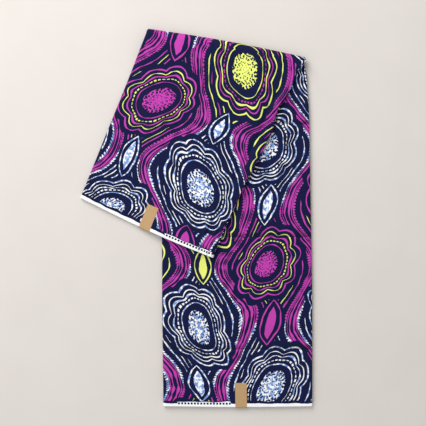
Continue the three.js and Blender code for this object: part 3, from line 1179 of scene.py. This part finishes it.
    def draw_rosette(self, add: AddNode, cell: PrintCell, below: Any) -> bpy.types.Node:
        """Draws the petalled rosette in the wide part of each cell.

        Args:
            add: Adds a node.
            cell: The point's places in its cell.
            below: The choice of ink below it.

        Returns:
            The choice of ink with it.
        """
        layout = self.layout
        slant = add("Math MULTIPLY", cell.lean, layout.rosette_slant)
        across = add("Math MULTIPLY_ADD", cell.from_rosette, slant, cell.across)
        x = add("Math MULTIPLY", across, 1 / ROSETTE.reach)
        y = add("Math MULTIPLY", cell.from_rosette, 1 / layout.rosette_half_length)
        length = add("VectorMath LENGTH", add("CombineXYZ", x, y))
        plain = add("Math MULTIPLY_ADD", length, -ROSETTE.reach, ROSETTE.reach)
        angle = add("Math ARCTAN2", y, x)
        wave = add("Math SINE", add("Math MULTIPLY", angle, layout.petals / 2))
        cut = add("Math SUBTRACT", add("Math ABSOLUTE", wave), 1.0)
        fading = (*layout.petal_fade, layout.petal_depth, 0.0)
        fade = add("MapRange", plain, *fading, interpolation_type="SMOOTHSTEP")
        depth = add("Math MULTIPLY_ADD", cut, fade, plain)
        ray = add("Math FRACT", add("Math MULTIPLY", angle, layout.rays / (2 * math.pi)))
        dashes = add("Math LESS_THAN", ray, self.DASH)
        flat = add("CombineXYZ", across, cell.from_rosette)
        spots = add("TexVoronoi", flat, 1 / layout.core_spot, voronoi_dimensions="2D")
        size = add("MapRange", depth, layout.core, ROSETTE.reach, 0.52, 0.1)
        dots = add("Math GREATER_THAN", spots, size)
        in_core = add("Math GREATER_THAN", depth, layout.core)
        broken_by = add("Mix", in_core, dashes, dots)
        code = self.draw(add, ROSETTE, depth, cell.thinness, broken_by)
        return self.over(add, ROSETTE, depth, code, below)

    def draw_leaf(self, add: AddNode, cell: PrintCell, below: Any) -> bpy.types.Node:
        """Draws the pointed leaf in the waist of each cell, and gives it one set of colours.

        Args:
            add: Adds a node.
            cell: The point's places in its cell.
            below: The choice of ink below it.

        Returns:
            The choice of ink with it.
        """
        length, width = self.layout.leaf_half_length, self.layout.leaf_half_width
        y = add("Math MULTIPLY", cell.from_waist, 1 / length)
        edge = add("Math MULTIPLY_ADD", add("Math MULTIPLY", y, y), -width, width)
        depth = add("Math SUBTRACT", edge, add("Math ABSOLUTE", cell.across))
        on_leaf = add("Math GREATER_THAN", depth, 0.0)
        cell.number = add("Mix", on_leaf, cell.number, cell.leaf_number)
        code = self.draw(add, LEAF_EYE, depth, cell.thinness, 0.0)
        return self.over(add, LEAF_EYE, depth, code, below)

    def ink_in(self, add: AddNode, flat: Any, cell: PrintCell, code: Any) -> bpy.types.Node:
        """Turns the strokes' choice of ink into the colours of their cell.

        Every other cell is mottled blue with white. Between them, cells are in turn yellow
        with magenta, and magenta with yellow.

        Args:
            add: Adds a node.
            flat: The cloth places in millimetres.
            cell: The point's places in its cell.
            code: The strokes' choice of ink.

        Returns:
            The print's colour.
        """
        magenta, yellow, white = (linear(hue) for hue in (self.magenta, self.yellow, self.white))
        bubbles = add("TexNoise", flat, 1 / self.layout.mottle, 2.0, noise_dimensions="2D")
        mottled = add("ValToRGB", bubbles)
        elements = mottled.color_ramp.elements
        elements[0].position, elements[0].color = 0.42, linear(self.sky)
        elements[1].position, elements[1].color = 0.48, linear(self.pale_sky)
        elements.new(0.53).color = white
        first = add("Math LESS_THAN", cell.number, 0.5)
        blue = add("Math FLOORED_MODULO", cell.number, 2.0)
        inks = []
        for second, of_first, of_blue in ((magenta, yellow, mottled), (yellow, magenta, white)):
            warm = add("Mix", first, second, of_first, data_type="RGBA")
            inks.append(add("Mix", blue, warm, of_blue, data_type="RGBA"))
        layers = add("SeparateColor", code).outputs
        on_trim = add("Math MULTIPLY", layers[0], blue)
        inks.append(add("Mix", on_trim, magenta, mottled, data_type="RGBA"))
        colour: Any = linear(self.ground)
        for layer, ink in zip(layers, inks):
            colour = add("Mix", layer, colour, ink, data_type="RGBA")
        return colour

    def leave_selvedge(self, add: AddNode, flat: Any, colour: Any) -> bpy.types.Node:
        """Leaves the selvedges unprinted but for a row of plain short dashes.

        Args:
            add: Adds a node.
            flat: The cloth places in millimetres.
            colour: The print's colour.

        Returns:
            The cloth's colour.
        """
        woven, band = Pile().woven_width, self.selvedge_band
        x, y, _ = add("SeparateXYZ", flat).outputs
        middle = add("Math SUBTRACT", y, woven / 2)
        inset = add("Math SUBTRACT", woven / 2, add("Math ABSOLUTE", middle))
        uneven = add("TexNoise", flat, 1 / 26.0, 3.0, noise_dimensions="2D")
        is_far = add("Math GREATER_THAN", middle, 0.0)
        marks = add("Math MULTIPLY_ADD", is_far, self.far_marks - self.near_marks, self.near_marks)
        stretch = add("Math COMPARE", x, marks, self.marks_half_length)
        even = add("Math MULTIPLY_ADD", uneven, 5.0, band - 2.5)
        bare_edge = add("Math MULTIPLY_ADD", stretch, 3.4, even)
        dark_edge = add("Math MULTIPLY_ADD", uneven, 9.0, band + 0.5)
        dark = add("Math LESS_THAN", inset, dark_edge)
        bare = add("Math LESS_THAN", inset, bare_edge)
        in_row = add("Math COMPARE", inset, band + 0.1, 2.0)
        step = add("Math FRACT", add("Math MULTIPLY", x, 1 / self.mark_step))
        marked = add("Math MULTIPLY", in_row, add("Math LESS_THAN", step, self.DASH))
        marked = add("Math MULTIPLY", marked, stretch)
        ground, white = linear(self.ground), linear(self.white)
        plain = add("Mix", marked, white, ground, data_type="RGBA")
        printed = add("Mix", dark, colour, ground, data_type="RGBA")
        return add("Mix", bare, printed, plain, data_type="RGBA")

    def crease_painted_shade(self, add: AddNode, flat: Any) -> bpy.types.Node:
        """Returns a factor on the inks by the storage creases: painted shade past each crease, painted
        light before it.

        Args:
            add: Adds a node.
            flat: The cloth places in millimetres.
        """
        along = add("SeparateXYZ", flat).outputs["Y"]
        # Painted shade past each crease and painted light before it, where the fold's slopes face away
        # from the lamp and towards it.
        painted_crease_shading: Any = 1.0
        for crease in ClothShape.STORAGE_CREASES:
            past = add("Math SUBTRACT", along, crease)
            painted_shade = add("MapRange", past, 0.0, self.painted_shade_reach, self.painted_shade, 1.0)
            painted_light = add("MapRange", past, -self.painted_light_reach, 0.0, 1.0, self.painted_light)
            beyond = add("Math GREATER_THAN", past, 0.0)
            painted_crease_shading = add("Math MULTIPLY", add("Mix", beyond, painted_light, painted_shade), painted_crease_shading)
        return painted_crease_shading

    def weave(self, add: AddNode, flat: Any, colour: Any) -> bpy.types.Node:
        """Returns the shader: the cloth's weave, its sheen, the unevenness of its inks, and the
        painted shade and painted light by the storage creases.

        Args:
            add: Adds a node.
            flat: The cloth places in millimetres.
            colour: The cloth's colour.
        """
        # Threads lie about 0.35 mm apart. They are drawn 1.4 mm apart, so that they show at all.
        checks = add("TexChecker", named={"Vector": flat, "Scale": 1 / self.THREAD_STEP})
        threads = checks.outputs["Fac"]
        fuzz = add("TexNoise", flat, 1 / 2.4, 2.0, noise_dimensions="2D")
        height = add("Math MULTIPLY_ADD", threads, 0.35, fuzz)
        relief = add("Bump", named={"Height": height, "Strength": 0.25, "Distance": 0.0002})
        patches = add("TexNoise", flat, 1 / 45.0, 3.0, noise_dimensions="2D")
        uneven = add("MapRange", patches, 0.3, 0.7, 0.93, 1.05)
        # The inks' random unevenness, times the painted shade and painted light by the storage
        # creases.
        tone_and_painted_shade = add("Math MULTIPLY", uneven, self.crease_painted_shade(add, flat))
        inks_with_painted_shade = add("VectorMath SCALE", colour, tone_and_painted_shade)
        dull = add("MapRange", fuzz, 0.3, 0.7, 0.72, 0.86)
        looks = {"Base Color": inks_with_painted_shade, "Roughness": dull, "Normal": relief, "IOR": 1.47}
        soft = {"Specular IOR Level": 0.2, "Sheen Weight": 0.02, "Sheen Roughness": 0.5}
        return add("BsdfPrincipled", named=looks | soft)


@dataclass(frozen=True)
class KraftPaper(Finish):
    """Uncoated gold-brown kraft paper: matt, with short darker and lighter fibres."""

    NAME = "kraft_paper"

    pale: str = "#c4a173"
    deep: str = "#ad8859"

    def shader(self, add: AddNode) -> bpy.types.Node:
        """Returns the paper's shader.

        Args:
            add: Adds a node.
        """
        # Fibres are about 1 mm long; they are drawn 3 mm long, so that they show.
        fibres = add("TexNoise", add("TexCoord").outputs["Object"], 1 / (3 * MM), 4.0)
        tint = add("Mix", fibres, linear(self.deep), linear(self.pale), data_type="RGBA")
        relief = add("Bump", named={"Height": fibres, "Strength": 0.15, "Distance": 0.0001})
        dull = add("MapRange", fibres, 0.3, 0.7, 0.6, 0.75)
        return add("BsdfPrincipled", named={"Base Color": tint, "Roughness": dull, "Normal": relief})


@dataclass(frozen=True)
class PaleFloor(Finish):
    """Matt glazed floor, plain and pale, with a faint cloudiness."""

    NAME = "pale_floor"

    colour: str = "#ded7d0"
    cloud: str = "#d6cfc7"

    def shader(self, add: AddNode) -> bpy.types.Node:
        """Returns the floor's shader.

        Args:
            add: Adds a node.
        """
        cloud = add("TexNoise", add("TexCoord").outputs["Object"], 9.0, 5.0)
        tint = add("Mix", cloud, linear(self.cloud), linear(self.colour), data_type="RGBA")
        return add("BsdfPrincipled", named={"Base Color": tint, "Roughness": 0.6})


def dress(piece: bpy.types.Object, material: bpy.types.Material) -> None:
    """Gives a piece one material."""
    piece.data.materials.clear()
    piece.data.materials.append(material)


# The rows of a ply's end, by distance from its selvedge.
END_PLACES = (0.0, 2.0, 6.0, 14.0, 30.0)


@dataclass
class LyingPart:
    """The part of the pile that lies on the floor, from the near selvedge to the turn."""

    layer: ClothLayer
    cloth: bpy.types.Material
    row_step: float = 3.6
    crease_step: float = 1.1
    crease_reach: float = 12.0
    coarse_rows: int = 90

    def shares(self) -> list[float]:
        """Returns the rows' shares of the length, finer beside the storage creases."""
        shape = self.layer.shape
        length = shape.axis_left.y - shape.pile.selvedge_y
        places, at = [], 0.0
        while at < length:
            places.append(at)
            away = min(abs(at - crease) for crease in shape.STORAGE_CREASES[:2])
            at += self.crease_step if away < self.crease_reach or at < 6 else self.row_step
        return [place / length for place in [*places, length]]

    def build(self) -> list[bpy.types.Object]:
        """Builds the part.

        Returns:
            The outer ply, and the hidden plies' edges as one piece.
        """
        shape, layer = self.layer.shape, self.layer
        rows = [shape.run_row(share) for share in self.shares()]
        cover_ply = layer.cover(count=58, margin=20.0, margin_count=6, folded_right=True)
        cover = layer.lay("run_cloth", cover_ply, rows)
        folds = [
            layer.folded_edge(leaf, number, leaf is RUN_LEAVES[-1], layer.LEAF_BULGE)
            for number, leaf in enumerate(RUN_LEAVES[1:], 3)
        ]
        coarse = [shape.run_row(share) for share in steps(0.0, 1.0, self.coarse_rows)]
        parts = layer.lay_all("run_fold", folds, coarse)
        ends = [shape.row_from_near(place) for place in END_PLACES]
        parts += layer.lay_all("run_ply", layer.ply_ends(RUN_LEAVES), ends)
        edges = layer.join("run_inner_plies", parts)
        for piece in (cover, edges):
            dress(piece, self.cloth)
        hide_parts("run_cover")
        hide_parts("run_plies")
        return [cover, edges]


@dataclass
class TurnedPart:
    """The part of the pile that goes round the turn and back over the rest."""

    layer: ClothLayer
    cloth: bpy.types.Material
    turn_rows: int = 16
    flap_rows: int = 140

    def rows(self) -> list[Row]:
        """Returns the part's rows, from the far selvedge to the turn and down round its loop."""
        shape = self.layer.shape
        rows = [shape.flap_row(share) for share in steps(1.0, 0.0, self.flap_rows)]
        return rows + [shape.turn_row(angle) for angle in steps(90, -90, self.turn_rows)[1:]]

    def build(self) -> list[bpy.types.Object]:
        """Builds the part.

        Returns:
            The outer ply, and the hidden plies' edges as one piece.
        """
        shape, layer = self.layer.shape, self.layer
        cover_ply = layer.cover(count=60, margin=84.0, margin_count=54, folded_right=False)
        cover = layer.lay("turned_cloth", cover_ply, self.rows())
        folds = [
            layer.folded_edge(leaf, number, leaf is FLAP_LEAVES[-1])
            for number, leaf in enumerate(FLAP_LEAVES, 12)
        ]
        parts = layer.lay_all("turned_fold", folds, self.rows())
        ends = [shape.row_from_far(place) for place in END_PLACES]
        parts += layer.lay_all("turned_ply", layer.ply_ends(FLAP_LEAVES), ends)
        edges = layer.join("turned_inner_plies", parts)
        for piece in (cover, edges):
            dress(piece, self.cloth)
        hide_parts("turned_cover")
        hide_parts("turned_plies")
        return [cover, edges]


@dataclass
class PaperTab:
    """A blank paper tab, stuck on the outer ply and folded down over the plies' ends."""

    name: str
    node: str
    across: float
    length: float
    row_at: Callable[[float], Row]
    width: float = 24.0
    thickness: float = 0.28
    stand_off: float = 0.2
    clearance: float = 2.2
    foot: float = 1.5
    columns: int = 10

    def profile(self) -> list[tuple[float, float]]:
        """Returns the tab's side view: the distance back from the selvedge and the rise."""
        points = [(back, self.stand_off) for back in steps(self.length, 0.0, 16)]
        for degrees in (75, 60, 45, 30, 15, 0):
            angle = math.radians(degrees)
            back = -self.clearance * math.cos(angle)
            points.append((back, self.stand_off - self.clearance * (1 - math.sin(angle))))
        down = self.foot - Pile().height
        points += [(-self.clearance, rise) for rise in steps(points[-1][1], down, 4)[1:]]
        return points

    def build(self, paper: bpy.types.Material) -> bpy.types.Object:
        """Builds the tab.

        Args:
            paper: Its material.

        Returns:
            The tab.
        """
        profile = self.profile()
        last = len(profile) - 1
        bpy.ops.object.select_all(action="DESELECT")
        bpy.ops.mesh.primitive_grid_add(x_subdivisions=self.columns, y_subdivisions=last, size=1)
        tab = bpy.context.object
        tab.name = tab.data.name = self.name
        for vertex in tab.data.vertices:
            back, rise = profile[round((0.5 - vertex.co.y) * last)]
            across = self.across + vertex.co.x * self.width
            point = self.row_at(max(back, 0.0)).place(across, 0.0, max(-back, 0.0))
            point.z += rise
            vertex.co = point * MM
        ClothLayer.give_thickness(tab, -self.thickness)
        dress(tab, paper)
        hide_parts(self.node)
        return tab


@dataclass(frozen=True)
class Studio:
    """The plain floor, the soft daylight from the upper left, and the camera overhead."""

    frame_width: float = 0.886
    centre: tuple[float, float] = (0.0343, 0.0094)
    camera_height: float = 2.4
    sensor: float = 36.0
    sky: str = "#f3f4f8"
    sky_strength: float = 0.57

    def build(self) -> None:
        """Builds the floor, the lights, the world and the camera."""
        bpy.ops.object.select_all(action="DESELECT")
        bpy.ops.mesh.primitive_plane_add(size=8)
        floor = bpy.context.object
        floor.name = "floor"
        dress(floor, PaleFloor().material())
        self.add_light("window", (-1.0, 1.75, 1.9), size=2.0, power=64.5)
        self.add_light("bounce", (-1.8, -0.9, 2.2), size=2.6, power=13.0)
        world = bpy.data.worlds.new("daylight")
        world.use_nodes = True
        background = world.node_tree.nodes["Background"]
        background.inputs["Color"].default_value = linear(self.sky)
        background.inputs["Strength"].default_value = self.sky_strength
        bpy.context.scene.world = world
        bpy.ops.object.camera_add(location=(*self.centre, self.camera_height), rotation=(0, 0, 0))
        camera = bpy.context.object
        camera.data.sensor_width = self.sensor
        camera.data.lens = self.sensor * self.camera_height / self.frame_width
        bpy.context.scene.camera = camera
        bpy.context.scene.view_settings.view_transform = "Standard"

    def add_light(
        self, name: str, place: tuple[float, float, float], size: float, power: float
    ) -> None:
        """Adds a square soft light that faces the cloth.

        Args:
            name: Its name.
            place: Where it stands, in metres.
            size: Its side, in metres.
            power: Its power, in watts.
        """
        bpy.ops.object.light_add(type="AREA", location=place)
        light = bpy.context.object
        light.name = name
        light.data.size = size
        light.data.energy = power
        aim = Vector((*self.centre, 0)) - Vector(place)
        light.rotation_euler = aim.to_track_quat("-Z", "Y").to_euler()


def main(frame: Mapping[str, Any]) -> None:
    """Builds the whole scene and reports each piece.

    Args:
        frame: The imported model, with its bodies and nodes.
    """
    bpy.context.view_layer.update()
    (body,) = frame["bodies"]
    shape = ClothShape(Pile(), Turn(), Flap())
    layer = ClothLayer(shape)
    cloth = WaxPrintCotton().material()
    paper = KraftPaper().material()
    run_cloth, run_inner = LyingPart(layer, cloth).build()
    turned_cloth, turned_inner = TurnedPart(layer, cloth).build()
    papers = [
        PaperTab("run_paper", "run_tab", 161.2, 48.0, shape.row_from_near).build(paper),
        PaperTab("turned_paper", "turned_tab", 147.5, 54.0, shape.row_from_far).build(paper),
    ]
    for piece in (run_cloth, run_inner, turned_cloth, turned_inner, *papers):
        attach(piece, body)
        LOG.info("%s has %d faces", piece.name, len(piece.data.polygons))
    Studio().build()


if __name__ == "__main__":
    logging.basicConfig(level=logging.INFO, format="%(message)s")
    main(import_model())
